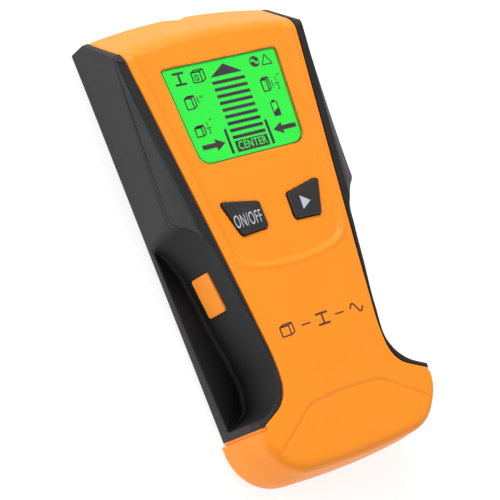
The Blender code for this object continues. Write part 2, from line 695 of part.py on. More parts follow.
def lead(name, side, look):
    """A round wire from the battery snap to its pad on the main board."""
    start = BATTERY_Y[1] + 5.2
    route = [(side * 3, start, 17), (side * 3.2, start + 4, 18.6), (side * 4.4, -15, 19.2),
             (side * 6, -9, 18.6), (side * 6.4, -7, 16.7)]
    curve = bpy.data.curves.new(name, "CURVE")
    curve.dimensions = "3D"
    curve.bevel_depth = LEAD_RADIUS * MM
    curve.bevel_resolution = 2
    curve.use_fill_caps = True
    spline = curve.splines.new("POLY")
    points = curve_through(route, 16)
    spline.points.add(len(points) - 1)
    for point, place in zip(spline.points, points):
        point.co = (*(coordinate * MM for coordinate in place), 1)
    link(name, curve, look)


def curve_through(route, count):
    """Points on a smooth curve through the route."""
    steps = np.linspace(0, len(route) - 1, count)
    axes = [[(i, point[axis]) for i, point in enumerate(route)] for axis in range(3)]
    return [tuple(smooth_value(axis, step) for axis in axes) for step in steps]


def case_screw(number, place):
    screw = mesh_object(f"case_screw_{number + 1}", cylinder(SCREW_HEAD_RADIUS, (0.3, 1.5), place), "steel")
    boolean(screw, mesh_object(f"case_shaft_{number}", cylinder(1.2, (1, 13), place, 12)), "UNION")
    for turn in (0, 1):
        size = (3.6, 0.7) if turn else (0.7, 3.6)
        boolean(screw, mesh_object(f"case_cross_{number}_{turn}", centred_box(*size, (-1, 0.9), place)))


# ---------------------------------------------------------------- sensors

def ring(name, radii, z, look, middle):
    bm = bmesh.new()
    corners = [(radii[0], z[0]), (radii[1], z[0]), (radii[1], z[1]), (radii[0], z[1])]
    verts = [bm.verts.new((x, 0, height)) for x, height in corners]
    edges = [bm.edges.new((verts[i], verts[(i + 1) % 4])) for i in range(4)]
    bmesh.ops.spin(bm, geom=verts + edges, axis=(0, 0, 1), cent=(0, 0, 0), angle=2 * math.pi, steps=28)
    bmesh.ops.remove_doubles(bm, verts=bm.verts, dist=1e-4)
    return smooth_object(mesh_object(name, bm, look, (*middle, 0)))


def sensors():
    mesh_object("sensor_board", centred_box(*SENSOR_BOARD), "board")
    for name, x in ELECTRODES:
        mesh_object(name, centred_box(14, 11.5, (2.7, 3.2), (x, 70)), "copper")
    ring("metal_coil", COIL_RADII, COIL_Z, "copper", COIL_PLACE)
    core_z = (COIL_Z[0] - 1, COIL_Z[1] + 1)
    smooth_object(mesh_object("coil_core", cylinder(COIL_RADII[0] - GAP, core_z, COIL_PLACE, 28), "ferrite"))
    mesh_object("ac_antenna", centred_box(*ANTENNA), "copper")
    smooth_object(mesh_object("buzzer", cylinder(*BUZZER, 28), "chip"))


def build():
    clear_scene()
    body_mesh = baked(whole_body(), "body")
    side_key_box("side_key_hole", 0.4, (-8, 8))
    core("grip_core", GRIP_WALL, CORE_FLOOR - GAP)
    mesh_object("rear_pocket", prism(rear_outline(REAR_INSET - GAP), -3, REAR_THICK + GAP))
    front_cover(body_mesh)
    grip("left_grip", -1, body_mesh)
    grip("right_grip", 1, body_mesh)
    rear_cover()
    battery_door()
    display()
    main_board()
    for name, switch, plunger, side in (
        ("on_off_key", "on_off_switch", "on_off_plunger", -1),
        ("mode_key", "mode_switch", "mode_plunger", 1),
    ):
        face_key(name, side)
        face_switch(switch, plunger, side)
    side_key_parts()
    battery()
    battery_box()
    lead("red_lead", -1, "red")
    lead("black_lead", 1, "chip")
    for number, place in enumerate(CASE_SCREWS):
        case_screw(number, place)
    sensors()


build()
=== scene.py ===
"""Studio scene of the stud finder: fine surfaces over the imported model, materials, light and camera.

Lengths in the shape code are millimetres in the model's frame; mesh_piece turns them into metres.
"""

import json
import math

import bmesh
import bpy
import numpy as np
from mathutils import Euler, Matrix, Vector


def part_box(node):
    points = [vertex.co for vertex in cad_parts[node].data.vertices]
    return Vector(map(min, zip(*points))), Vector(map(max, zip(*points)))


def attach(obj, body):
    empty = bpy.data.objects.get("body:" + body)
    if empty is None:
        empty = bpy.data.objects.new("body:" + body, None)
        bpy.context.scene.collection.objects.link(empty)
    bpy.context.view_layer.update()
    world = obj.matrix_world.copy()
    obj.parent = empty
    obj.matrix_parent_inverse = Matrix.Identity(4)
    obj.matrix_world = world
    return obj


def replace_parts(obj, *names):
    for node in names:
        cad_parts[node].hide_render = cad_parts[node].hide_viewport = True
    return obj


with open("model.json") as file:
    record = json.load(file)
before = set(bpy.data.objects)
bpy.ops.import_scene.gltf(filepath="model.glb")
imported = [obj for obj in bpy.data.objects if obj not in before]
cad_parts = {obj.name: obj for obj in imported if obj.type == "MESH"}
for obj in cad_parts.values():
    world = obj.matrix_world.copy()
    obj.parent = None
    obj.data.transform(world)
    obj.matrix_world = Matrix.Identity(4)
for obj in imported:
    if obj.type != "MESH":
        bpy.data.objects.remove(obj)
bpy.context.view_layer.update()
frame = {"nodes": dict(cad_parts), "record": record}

MM = 0.001
HOUSING = "housing"
SHARP = 38  # degrees between two faces that makes an edge sharp

# Outline of the face: (y, half width)
FACE_EDGE = (
    (80, 35.5), (66, 34.2), (34, 30.4), (4, 26.7), (-30, 22.7), (-42, 21.5),
    (-47, 21.5), (-51, 22), (-54, 23.2), (-57, 26), (-59.6, 30.9), (-60.8, 33),
)
SEAM = 0.15  # half the gap between the face and a grip
FACE_MIDDLE = 29.05  # heights of the crown: its middle, its low end and its rim
FACE_LOW = 28.6
FACE_RIM = 28.45
FACE_FOOT = -61.35
FACE_ROW = 0.5  # distance between the rows of the face's mesh
FACE_COLUMNS = 171
EDGE_ROUND = 0.5
HOLE_ROUND = 0.4
WALL = 1.6
SKIRT = 4.0  # how far the shell's lip reaches in behind the grips

# Hood at the sensing end: (y, z) down its outer surface at the middle
HOOD = (
    (82, -2), (81.7, 9.6), (81.3, 10.8), (71, 25.8),
    (70.2, 26.9), (68.7, 27.9), (66, 28.8), (60, 30),
)
RIDGE_Y = 81.4
RIDGE_Z = 10.8
BROW_Y = 71
BROW_Z = 25.8
HOOD_SLOPE = (BROW_Z - RIDGE_Z) / (81.2 - BROW_Y)
HOOD_SAG = 3.0  # how far its ends lie behind its middle
HOOD_ROUND = 4.5
HOOD_HALF = 35.3
HOOD_TURN = 0.7  # radius of the ridge
HOOD_TUCK = 0.9
NOTCH_HALF = 4.25
NOTCH_DEPTH = 1.5

# Sunken panel
PANEL_MARGIN = 3.9
PANEL_DEPTH = 1.0
PANEL_SLOPE = 1.7
PANEL_BOTTOM = -12.7
PANEL_RISE = 2.9  # how far the panel's bottom edge rises towards its ends
PANEL_CORNER = 6.0
RIB_HEIGHT = 0.34  # the rounded rib around the panel
RIB_OUT = 1.2
RIB_WIDTH = 0.75

# Bottom block
BLOCK_TOP = -62.2
BLOCK_END = -82.0
BLOCK_HALF = 35.8
BLOCK_CORNER = 16.0
BLOCK_BOW = 0.8
CREASE_STEP = 0.22
CREASE_DEPTH = 0.34
CREASE_WIDTH = 0.5
CREASE_SPREAD = 1.2
BLOCK_SQUARED = 0.58  # how much squarer the block is beside the grips
BLOCK_SIDE = (  # (inset, height) from its top edge down to its foot
    (7, 28.45), (5.2, 28.35), (4, 28.0), (3.1, 27.4), (2.4, 26.5), (1.9, 25.2), (1.2, 20),
    (0.2, 13), (0, 8), (0.1, 3.2), (0.5, 1.6), (1.3, 0.5), (2.4, 0),
)
BLOCK_TOP_ROWS = 26
BLOCK_SIDE_ROWS = 34

# Grips
RIM_WIDTH = 3.0
RIM_HEIGHT = 28.0
SIDE_WIDEST = 37.6
SHOULDER_LOW = 22.2
SHOULDER_RISE = 4.8
RECESS_TOP = 9.5
HOOD_FOOT = 66.0
GRIP_BOTTOM = -61.05
GRIP_CREASE = 32  # degrees between two faces that makes an edge sharp
RAMP_SOFTNESS = 1.5
GROOVE_DEPTH = 0.32
GROOVES = (0.13, 0.87)  # shares of the facet's width
GROOVE_EDGES = (0.06, 0.13, 0.20, 0.80, 0.87, 0.94)
BACK_LIP = 2.6
BACK_LIP_Z = 2.4
OUT_OF_REACH = 60.0
RECESS_FLOOR = (  # (x, y) where the recess's wall meets its floor, and where it meets the rim
    (37.2, 8), (34.6, 5.6), (30.5, -2), (28.5, -12.6), (26.9, -25.5),
    (24.7, -39), (24.8, -50), (27.4, -55.4), (34.2, -58.5),
)
RECESS_RIM = (
    (38, 10.2), (33.6, 6.8), (28.8, 0.6), (27, -8), (25.2, -20.6),
    (23, -36), (23, -49.5), (25, -53.2), (31.3, -58.2), (36.4, -60.2),
)

# Strip under the grips: (y, inset), the last two inside the seam
COLLAR = ((GRIP_BOTTOM - 0.06, 0.12), (-61.9, 0.12), (-61.95, 0.55), (-62.7, 0.55))

# Window and keys
WINDOW = ((-23.1, 59), (23.1, 59), (20.8, 24.6), (-20.8, 24.6))
WINDOW_RADII = (1.5, 1.5, 4.5, 4.5)
KEY = ((-19.7, 11.4), (-5.6, 8.6), (-5.6, -0.5), (-15.8, -1))
KEY_RADIUS = 0.9
KEY_CLEARANCE = 0.35
KEY_ROOT = 24.0
KEY_TOP = 29.0
KEY_EDGE = 0.35
DISPLAY_Z = 27.02
PANE_TOP = 28.05
SIDE_KEY_TURN = (0, math.radians(5.2), math.radians(7.1))
SIDE_KEY_PLACE = (-27.35, -14.7, 13.85)
SIDE_KEY_SIZE = (13.9, 10.3)
SIDE_KEY_CORNER = 1.0
SIDE_KEY_PROUD = 0.5
SIDE_KEY_ROOT = 5.3
SIDE_KEY_CLEARANCE = 0.3

# The level bars and the signs of the display
BARS = 9
BAR_TOP = 51.6
BAR_STEP = 2.44
BAR_THICK = 1.15
ICON_LINE = 0.46
SIGNS = (  # name, text, size, place
    ("sign_one", '1"', 3.6, (-12.4, 46.5)),
    ("sign_half_top", "1", 2.4, (-13.0, 38.1)),
    ("sign_half_low", "2", 2.4, (-12.9, 35.4)),
    ("sign_half_inch", '"', 2.6, (-11.2, 38.6)),
    ("sign_more", "1", 3.4, (16.9, 46.4)),
    ("sign_more_top", "1", 2.4, (18.8, 47.8)),
    ("sign_more_low", "2", 2.4, (18.9, 45.0)),
    ("sign_more_inch", '"', 2.6, (20.3, 48.6)),
)

# The foam pad: how square its outline, its sides and its faces are, 1 being round
PAD_OUTLINE = 0.28
PAD_SIDES = 0.35
PAD_FACES = 0.55

# The studio: (name, place, size, watts) of each light, in metres
LIGHTS = (
    ("key_light", (0.05, 1.05, 0.85), 0.7, 11.8),
    ("fill_light", (-0.95, 0.3, 0.42), 0.4, 2.7),
    ("low_light", (0.6, -0.6, 0.6), 0.6, 1.2),
)
WORLD_LIGHT = 0.55
FLOOR_HALF = 3
FLOOR_Z = -0.0003
FLOOR_GREY = 0.45
FLOOR_GLOW = 0.70

# The camera, solved for the viewing angle: its axes (right, down, forward) and its place
CAMERA_RIGHT = (0.821561, -0.350672, 0.449518)
CAMERA_DOWN = (-0.242069, -0.928420, -0.281849)
CAMERA_FORWARD = (0.516178, 0.122742, -0.847641)
CAMERA_PLACE = (-267.314, -66.030, 442.061)
CAMERA_LENS = 108.934
CAMERA_SENSOR = 36


# ---------------------------------------------------------------- curves and heights

def smooth_curve(points, count=400):
    """Samples of a smooth curve through (station, value) pairs, as two arrays."""
    keys, values = np.array(sorted(points), float).T
    slopes = np.gradient(values, keys)
    at = np.linspace(keys[0], keys[-1], count)
    i = np.clip(np.searchsorted(keys, at) - 1, 0, len(keys) - 2)
    span = keys[i + 1] - keys[i]
    t = (at - keys[i]) / span
    start = values[i] * (1 + 2 * t) * (1 - t) ** 2 + slopes[i] * span * t * (1 - t) ** 2
    end = values[i + 1] * (3 - 2 * t) * t**2 - slopes[i + 1] * span * t**2 * (1 - t)
    return at, start + end


FACE_CURVE = smooth_curve(FACE_EDGE)
FLOOR_CURVE = smooth_curve([(y, x) for x, y in RECESS_FLOOR])
RIM_CURVE = smooth_curve([(y, x) for x, y in RECESS_RIM])


def smooth_min(a, b, k):
    h = np.clip(0.5 + 0.5 * (b - a) / k, 0, 1)
    return b * (1 - h) + a * h - k * h * (1 - h)


def ease(t):
    t = np.clip(t, 0, 1)
    return t * t * (3 - 2 * t)


def fillet(distance, radius):
    """How far a rounded lip has dropped at a distance from its edge."""
    t = np.clip(radius - distance, 0, radius)
    return radius - np.sqrt(radius**2 - t**2)


def face_half(y):
    return np.interp(y, *FACE_CURVE)


def hood_back(x):
    return HOOD_SAG * (x / HOOD_HALF) ** 2


def ridge(x):
    """The y of the ridge, with the marking notch in it."""
    notch = NOTCH_DEPTH * np.clip(1 - np.abs(x) / NOTCH_HALF, 0, 1)
    return RIDGE_Y - hood_back(x) - notch


def hood_height(x, y):
    return BROW_Z - HOOD_SLOPE * (y + hood_back(x) - BROW_Y)


def panel_inside(x, y):
    """Distance into the sunken panel from its outline."""
    low = PANEL_BOTTOM + PANEL_RISE * (x / 19.7) ** 2
    return smooth_min(face_half(y) - PANEL_MARGIN - np.abs(x), y - low, PANEL_CORNER)


def crease_line(x):
    """The y of the line across the bottom block."""
    middle = -58.6 - 1.2 * (x / 15.5) ** 2
    side = -59.4 - 0.70 * (np.abs(x) - 14.5)
    return smooth_min(middle, side, 0.9)


def crown(x, y):
    middle = FACE_MIDDLE - (FACE_MIDDLE - FACE_LOW) * ease((-35 - y) / 27)
    half = np.where(y > -60, face_half(y), BLOCK_HALF)
    return middle - (middle - FACE_RIM) * np.clip(np.abs(x) / half, 0, 1) ** 2.6


def face_height(x, y):
    """The orange face and hood, before the holes for the window and the keys."""
    inside = panel_inside(x, y)
    z = crown(x, y) - PANEL_DEPTH * ease(inside / PANEL_SLOPE + 0.5)
    z = z + RIB_HEIGHT * np.exp(-(((inside + RIB_OUT) / RIB_WIDTH) ** 2))
    below = (crease_line(x) - y) * 0.85
    z = z - CREASE_STEP * ease(below / CREASE_SPREAD + 0.5)
    z = z - CREASE_DEPTH * np.exp(-((below / CREASE_WIDTH) ** 2))
    return smooth_min(z, hood_height(x, y), HOOD_ROUND)


def outline_distance(x, y, outline):
    """Distance of every point from a closed outline."""
    points = np.stack([x, y], -1)
    best = np.full(x.shape, 1e9)
    for a, b in zip(outline, outline[1:] + outline[:1]):
        start = np.array(a)
        along = np.array(b) - start
        t = np.clip(((points - start) @ along) / (along @ along), 0, 1)
        best = np.minimum(best, np.linalg.norm(points - start - t[..., None] * along, axis=-1))
    return best


def rounded(corners, radii, grow=0.0, steps=8):
    """The outline of a convex polygon with rounded corners, grown outwards by grow."""
    area = sum(a[0] * b[1] - b[0] * a[1] for a, b in zip(corners, (*corners[1:], corners[0])))
    points = []
    for i, corner in enumerate(corners):
        here = Vector(corner)
        back = (Vector(corners[i - 1]) - here).normalized()
        ahead = (Vector(corners[(i + 1) % len(corners)]) - here).normalized()
        half = math.acos(max(-1, min(1, back.dot(ahead)))) / 2
        bisector = (back + ahead).normalized()
        middle = here + bisector * (radii[i] / math.sin(half))
        for k in range(steps + 1):
            angle = (k / steps - 0.5) * (math.pi - 2 * half) * (1 if area > 0 else -1)
            turned = Matrix.Rotation(angle, 2) @ (-bisector)
            points.append(tuple(middle + turned * (radii[i] + grow)))
    return points


def window(grow=0.0):
    return rounded(WINDOW, WINDOW_RADII, grow)


def key_outline(side, grow=0.0):
    return [(-side * x, y) for x, y in rounded(KEY, (KEY_RADIUS,) * 4, grow)]


# ---------------------------------------------------------------- mesh tools

def mesh_piece(name, bm, material, body=HOUSING, place=(0, 0, 0), turn=(0, 0, 0), sharp=SHARP):
    """A piece from a bmesh in millimetres, riding on a body; body None leaves it as a cutter."""
    bmesh.ops.scale(bm, vec=(MM, MM, MM), verts=bm.verts)
    mesh = bpy.data.meshes.new(name)
    bm.to_mesh(mesh)
    bm.free()
    obj = bpy.data.objects.new(name, mesh)
    bpy.context.scene.collection.objects.link(obj)
    obj.location = Vector(place) * MM
    obj.rotation_euler = Euler(turn)
    finish_mesh(obj, material, sharp)
    if body:
        bpy.context.view_layer.update()
        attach(obj, body)
    return obj


def finish_mesh(obj, material, sharp):
    """Materials, with each face keeping its own, and smooth shading up to the sharp angle in degrees."""
    indices = [face.material_index for face in obj.data.polygons]
    obj.data.materials.clear()
    for one in material if isinstance(material, tuple) else (material,):
        if one:
            obj.data.materials.append(one)
    if len(obj.data.materials) > 1:
        obj.data.polygons.foreach_set("material_index", indices)
    obj.data.shade_smooth()
    obj.data.set_sharp_from_angle(angle=math.radians(sharp))


def skin(rows, closed=False):
    """A bmesh of quads through rows of points with the same count."""
    bm = bmesh.new()
    grid = [[bm.verts.new(point) for point in row] for row in rows]
    count = len(grid[0])
    for lower, upper in zip(grid, grid[1:]):
        for i in range(count if closed else count - 1):
            j = (i + 1) % count
            bm.faces.new((lower[i], lower[j], upper[j], upper[i]))
    return bm, grid


def solid_of_rings(rings):
    bm, grid = skin(rings, closed=True)
    bm.faces.new(grid[0][::-1])
    bm.faces.new(grid[-1])
    bmesh.ops.recalc_face_normals(bm, faces=bm.faces)
    return bm


def cut(obj, cutters):
    """Cuts the holes, then applies every modifier of the object."""
    for cutter in cutters:
        modifier = obj.modifiers.new(cutter.name, "BOOLEAN")
        modifier.operation = "DIFFERENCE"
        modifier.solver = "MANIFOLD"
        modifier.object = cutter
    graph = bpy.context.evaluated_depsgraph_get()
    mesh = bpy.data.meshes.new_from_object(obj.evaluated_get(graph))
    obj.modifiers.clear()
    obj.data = mesh
    for cutter in cutters:
        bpy.data.objects.remove(cutter, do_unlink=True)


def prism_cutter(name, outline, low=20, high=40):
    rings = [[(x, y, z) for x, y in outline] for z in (low, high)]
    return mesh_piece(name, solid_of_rings(rings), None, None)


# ---------------------------------------------------------------- materials

def plastic(name, colour, roughness=0.42, grain=0.25, bump=0.12, mottle=0.05, metallic=0.0, wear=0.12,
            specular=0.5):
    """Moulded finish: a fine grain, its size in millimetres, faint mottling and lighter worn edges."""
    material = bpy.data.materials.new(name)
    material.use_nodes = True
    nodes = material.node_tree.nodes
    links = material.node_tree.links
    shader = nodes["Principled BSDF"]
    shader.inputs["Metallic"].default_value = metallic
    shader.inputs["Specular IOR Level"].default_value = specular
    place = nodes.new("ShaderNodeTexCoord")

    fine = nodes.new("ShaderNodeTexNoise")
    fine.inputs["Scale"].default_value = 1 / (grain * MM)
    fine.inputs["Detail"].default_value = 3
    links.new(place.outputs["Object"], fine.inputs["Vector"])
    broad = nodes.new("ShaderNodeTexNoise")
    broad.inputs["Scale"].default_value = 90
    broad.inputs["Detail"].default_value = 4
    links.new(place.outputs["Object"], broad.inputs["Vector"])

    shade = nodes.new("ShaderNodeMapRange")
    shade.inputs["From Min"].default_value = 0.3
    shade.inputs["From Max"].default_value = 0.7
    shade.inputs["To Min"].default_value = 1 - mottle
    shade.inputs["To Max"].default_value = 1 + mottle
    links.new(broad.outputs["Fac"], shade.inputs["Value"])
    tint = nodes.new("ShaderNodeVectorMath")
    tint.operation = "SCALE"
    tint.inputs[0].default_value = colour
    links.new(shade.outputs["Result"], tint.inputs["Scale"])

    edges = nodes.new("ShaderNodeNewGeometry")
    worn = nodes.new("ShaderNodeMapRange")
    worn.inputs["From Min"].default_value = 0.52
    worn.inputs["From Max"].default_value = 0.62
    worn.inputs["To Max"].default_value = wear
    links.new(edges.outputs["Pointiness"], worn.inputs["Value"])
    lighter = nodes.new("ShaderNodeMix")
    lighter.data_type = "RGBA"
    lighter.inputs["B"].default_value = (*[min(1, c * 1.4 + 0.05) for c in colour], 1)
    links.new(worn.outputs["Result"], lighter.inputs["Factor"])
    links.new(tint.outputs["Vector"], lighter.inputs["A"])
    links.new(lighter.outputs["Result"], shader.inputs["Base Color"])

    rough = nodes.new("ShaderNodeMapRange")
    rough.inputs["From Min"].default_value = 0.25
    rough.inputs["From Max"].default_value = 0.75
    rough.inputs["To Min"].default_value = max(0.02, roughness - 0.06)
    rough.inputs["To Max"].default_value = roughness + 0.06
    links.new(fine.outputs["Fac"], rough.inputs["Value"])
    links.new(rough.outputs["Result"], shader.inputs["Roughness"])

    relief = nodes.new("ShaderNodeBump")
    relief.inputs["Strength"].default_value = bump
    relief.inputs["Distance"].default_value = 0.05 * MM
    links.new(fine.outputs["Fac"], relief.inputs["Height"])
    links.new(relief.outputs["Normal"], shader.inputs["Normal"])
    return material


def painted_hollow_shade(material):
    """Painted shade: the elastomer's colour and gloss are darkened in its deep hollows, where shade
    falls.
    """
    nodes = material.node_tree.nodes
    links = material.node_tree.links
    shader = nodes["Principled BSDF"]
    # painted shade: ambient occlusion finds the hollows, and the colour and the gloss are darkened there
    shelter = nodes.new("ShaderNodeAmbientOcclusion")
    shelter.inputs["Distance"].default_value = 25 * MM
    shelter.samples = 8
    shelter.only_local = True
    deep = nodes.new("ShaderNodeMapRange")
    deep.inputs["From Min"].default_value = 0.45
    deep.inputs["From Max"].default_value = 0.95
    deep.inputs["To Min"].default_value = 0.05
    links.new(shelter.outputs["AO"], deep.inputs["Value"])
    base = shader.inputs["Base Color"].links[0].from_socket
    painted_shade = nodes.new("ShaderNodeVectorMath")
    painted_shade.operation = "SCALE"
    links.new(base, painted_shade.inputs[0])
    links.new(deep.outputs["Result"], painted_shade.inputs["Scale"])
    links.new(painted_shade.outputs["Vector"], shader.inputs["Base Color"])
    gloss = nodes.new("ShaderNodeMath")
    gloss.operation = "MULTIPLY"
    gloss.inputs[1].default_value = shader.inputs["Specular IOR Level"].default_value
    links.new(deep.outputs["Result"], gloss.inputs[0])
    links.new(gloss.outputs["Value"], shader.inputs["Specular IOR Level"])
    return material


def glowing(name, colour, strength):
    """The backlit display: an even glow with the faint pattern of its light guide."""
    dim = tuple(0.12 * c for c in colour)
    material = plastic(name, dim, 0.3, 0.4, 0.0, 0.02, wear=0.0, specular=0.2)
    nodes = material.node_tree.nodes
    shader = nodes["Principled BSDF"]
    shader.inputs["Emission Color"].default_value = (*colour, 1)
    shader.inputs["Emission Strength"].default_value = strength
    return material


def clear(name):
    """Polished clear acrylic with hair-fine scratches."""
    material = plastic(name, (1, 1, 1), 0.07, 1.5, 0.02, 0.0, wear=0.0)
    shader = material.node_tree.nodes["Principled BSDF"]
    shader.inputs["Transmission Weight"].default_value = 1.0
    shader.inputs["IOR"].default_value = 1.12
    return material


def leather(name, colour):
    """The pebbled inlay of the grips."""
    material = plastic(name, colour, 0.62, 0.35, 0.5, 0.12, wear=0.1, specular=0.35)
    nodes = material.node_tree.nodes
    links = material.node_tree.links
    cells = nodes.new("ShaderNodeTexVoronoi")
    cells.inputs["Scale"].default_value = 1400
    links.new(nodes["Texture Coordinate"].outputs["Object"], cells.inputs["Vector"])
    pebbles = nodes.new("ShaderNodeBump")
    pebbles.inputs["Strength"].default_value = 0.40
    pebbles.inputs["Distance"].default_value = 0.12 * MM
    links.new(cells.outputs["Distance"], pebbles.inputs["Height"])
    links.new(nodes["Bump"].outputs["Normal"], pebbles.inputs["Normal"])
    links.new(pebbles.outputs["Normal"], nodes["Principled BSDF"].inputs["Normal"])
    return material


ORANGE = plastic("orange_abs", (1.0, 0.295, 0.014), 0.45, 0.3, 0.10, 0.02, wear=0.08, specular=0.26)
# the black elastomer, with painted shade darkening its hollows
BLACK = painted_hollow_shade(
    plastic("black_elastomer", (0.014, 0.014, 0.015), 0.55, 0.35, 0.35, 0.10, wear=0.10, specular=0.28)
)
INLAY = leather("grip_inlay", (0.034, 0.034, 0.035))
KEY_ORANGE = plastic("key_orange", (1.0, 0.31, 0.02), 0.5, 0.3, 0.10, 0.03, wear=0.06, specular=0.3)
KEY_BLACK = plastic("key_plastic", (0.017, 0.017, 0.018), 0.42, 0.3, 0.12, 0.06, wear=0.14)
LEGEND = plastic("legend_grey", (0.50, 0.53, 0.57), 0.45, 0.2, 0.05, 0.04, wear=0.0)
INK = plastic("printed_ink", (0.10, 0.025, 0.02), 0.5, 0.2, 0.05, 0.05, wear=0.0)
GREEN = glowing("display", (0.040, 0.95, 0.075), 0.85)
SEGMENT = plastic("segment_ink", (0.060, 0.022, 0.052), 0.4, 0.2, 0.03, 0.05, wear=0.0)
CLEAR = clear("clear_window")
FOAM = plastic("cell_foam", (0.09, 0.09, 0.10), 0.95, 0.6, 0.9, 0.25, wear=0.05, specular=0.2)
# painted shade: dark brown for the gap around the window
GAP_SHADE = plastic("painted_gap_shade", (0.09, 0.035, 0.012), 0.5, 0.2, 0.05, 0.05, wear=0.0)


# ---------------------------------------------------------------- orange cover

def face_holes():
    """The outlines of the window and of the two keys' holes."""
    return [window(), *[key_outline(side, KEY_CLEARANCE) for side in (-1, 1)]]


def face_rows(u):
    """Rows of the face from the block to the ridge."""
    rows = []
    for nominal in np.arange(FACE_FOOT, RIDGE_Y - HOOD_TURN, FACE_ROW):
        x = u * (face_half(nominal) - SEAM)
        weight = np.clip((nominal - 40) / (RIDGE_Y - 40), 0, 1) ** 2
        y = nominal + weight * (ridge(x) - RIDGE_Y)
        z = face_height(x, y)
        z = z - fillet(face_half(y) - SEAM - np.abs(x), EDGE_ROUND) * ease((nominal - FACE_FOOT) / 2.5)
        for outline in face_holes():
            z = z - fillet(outline_distance(x, y, outline), HOLE_ROUND)
        rows.append(np.stack([x, y, z], -1))
    return rows


def end_rows(u):
    """Round the ridge and down the end face to the back edge."""
    x = u * (face_half(80.0) - SEAM)
    top_y = ridge(x)
    corner = hood_height(x, top_y)
    start = hood_height(x, top_y - HOOD_TURN)
    rows = []
    for t in (0.25, 0.5, 0.75, 1.0):
        y = (1 - t) ** 2 * (top_y - HOOD_TURN) + 2 * t * (1 - t) * top_y + t**2 * top_y
        z = (1 - t) ** 2 * start + 2 * t * (1 - t) * corner + t**2 * (corner - HOOD_TUCK)
        rows.append(np.stack([x, y, z], -1))
    for t in np.linspace(0.1, 1, 10):
        z = (corner - HOOD_TUCK) * (1 - t) + 0.35 * t
        rows.append(np.stack([x, top_y + 0.35 * t, z], -1))
    rows.append(np.stack([x, top_y, np.zeros_like(x)], -1))
    return rows


def block_ring(u, inset):
    """The outline of the bottom block at an inset, from its left end round to its right end."""
    centre = (BLOCK_HALF - BLOCK_CORNER, BLOCK_END + BLOCK_BOW + BLOCK_CORNER)
    radius = BLOCK_CORNER - inset
    side = BLOCK_TOP - centre[1]
    arc = radius * math.pi / 2
    s = np.abs(u) * (centre[0] + arc + side)
    bow = BLOCK_END + inset + BLOCK_BOW * np.clip(s / centre[0], 0, 1) ** 2
    angle = np.clip((s - centre[0]) / radius, 0, math.pi / 2)
    x = np.where(s < centre[0], s, centre[0] + radius * np.sin(angle))
    y = np.where(s < centre[0], bow, centre[1] - radius * np.cos(angle))
    y = np.where(s > centre[0] + arc, centre[1] + s - centre[0] - arc, y)
    return np.sign(u) * x, y


def block_rows(u):
    """From the back edge of the block up its side and in over its top to the foot of the face."""
    insets, heights = np.array(BLOCK_SIDE).T
    steps = np.linspace(0, len(insets) - 1, BLOCK_SIDE_ROWS)
    curve_inset = np.interp(steps, *smooth_curve(list(enumerate(insets))))
    curve_height = np.interp(steps, *smooth_curve(list(enumerate(heights))))
    drawn = 1 - BLOCK_SQUARED * ease((np.abs(u) - 0.72) / 0.28)
    rows = []
    for inset, height in zip(curve_inset[::-1], curve_height[::-1]):
        x, y = block_ring(u, max(0, inset) * drawn)
        weight = ease((inset - 1.9) / 5.1)
        z = height + weight * (face_height(x, y) - BLOCK_SIDE[0][1])
        rows.append(np.stack([x, y, z], -1))
    edge_x, edge_y = block_ring(u, insets[0] * drawn)
    foot_x = u * (face_half(FACE_FOOT) - SEAM)
    for t in np.linspace(0, 1, BLOCK_TOP_ROWS)[1:-1]:
        x = edge_x + (foot_x - edge_x) * t
        y = edge_y + (FACE_FOOT - edge_y) * t
        rows.append(np.stack([x, y, face_height(x, y)], -1))
    return rows


def skirt(column, block_count):
    """The side column carried inwards, so that the shell has a lip behind the grips."""
    column = np.array(column)
    along = np.gradient(column[:, 1:], axis=0)
    along /= np.linalg.norm(along, axis=1)[:, None] + 1e-9
    inward = np.stack([np.zeros(len(column)), along[:, 1], -along[:, 0]], -1)
    to_middle = np.array((0, BLOCK_TOP, 12.0)) - column[:block_count]
    inward[:block_count] = to_middle / np.linalg.norm(to_middle, axis=1)[:, None]
    return column + inward * SKIRT


def cover_shell():
    u = np.linspace(-1, 1, FACE_COLUMNS)
    block = block_rows(u)
    grid = np.array([*block, *face_rows(u), *end_rows(u)])
    left = skirt(grid[:, 0], len(block))
    right = skirt(grid[:, -1], len(block))
    grid = np.concatenate([left[:, None], grid, right[:, None]], axis=1)
    bm, _ = skin(grid)
    bmesh.ops.recalc_face_normals(bm, faces=bm.faces)
    bm.faces.ensure_lookup_table()
    middle = bm.faces[len(bm.faces) // 2]
    if middle.normal.z < 0:
        bmesh.ops.reverse_faces(bm, faces=bm.faces)
    shell = mesh_piece("cover_shell", bm, ORANGE)
    thick = shell.modifiers.new("wall", "SOLIDIFY")
    thick.thickness = WALL * MM
    thick.offset = -1
    cut(shell, [prism_cutter(f"hole_{i}", outline) for i, outline in enumerate(face_holes())])
    finish_mesh(shell, ORANGE, SHARP)
    return shell


def cover_collar():
    """The orange strip between the grips and the step of the bottom block, set back in the seam."""
    shape = grip_shape(GRIP_BOTTOM)
    right = [(x, z) for x, z in shape["outer"] if z > 0.5] + [(shape["back"] - 0.5, 0.1)]
    rings = []
    for y, inset in COLLAR:
        ring = [(x - inset, y, z - 0.12 - 0.1 * inset) for x, z in right]
        rings.append([*ring, *[(-x, y, z) for x, y, z in reversed(ring)]])
    collar = mesh_piece("cover_collar", solid_of_rings(rings), ORANGE)
    return collar


# ---------------------------------------------------------------- grips

def back_half(y):
    return 35.46 + 0.0223 * y


def shoulder(y):
    along = np.clip((y - RECESS_TOP) / (HOOD_FOOT - RECESS_TOP), 0, 1)
    low = 34.6 + 3.0 * (y + 62.6) / (RECESS_TOP + 62.6)
    return min(SIDE_WIDEST, low), SHOULDER_LOW + SHOULDER_RISE * along**1.5


def floor_height(y):
    return 4.0 - 0.04 * y


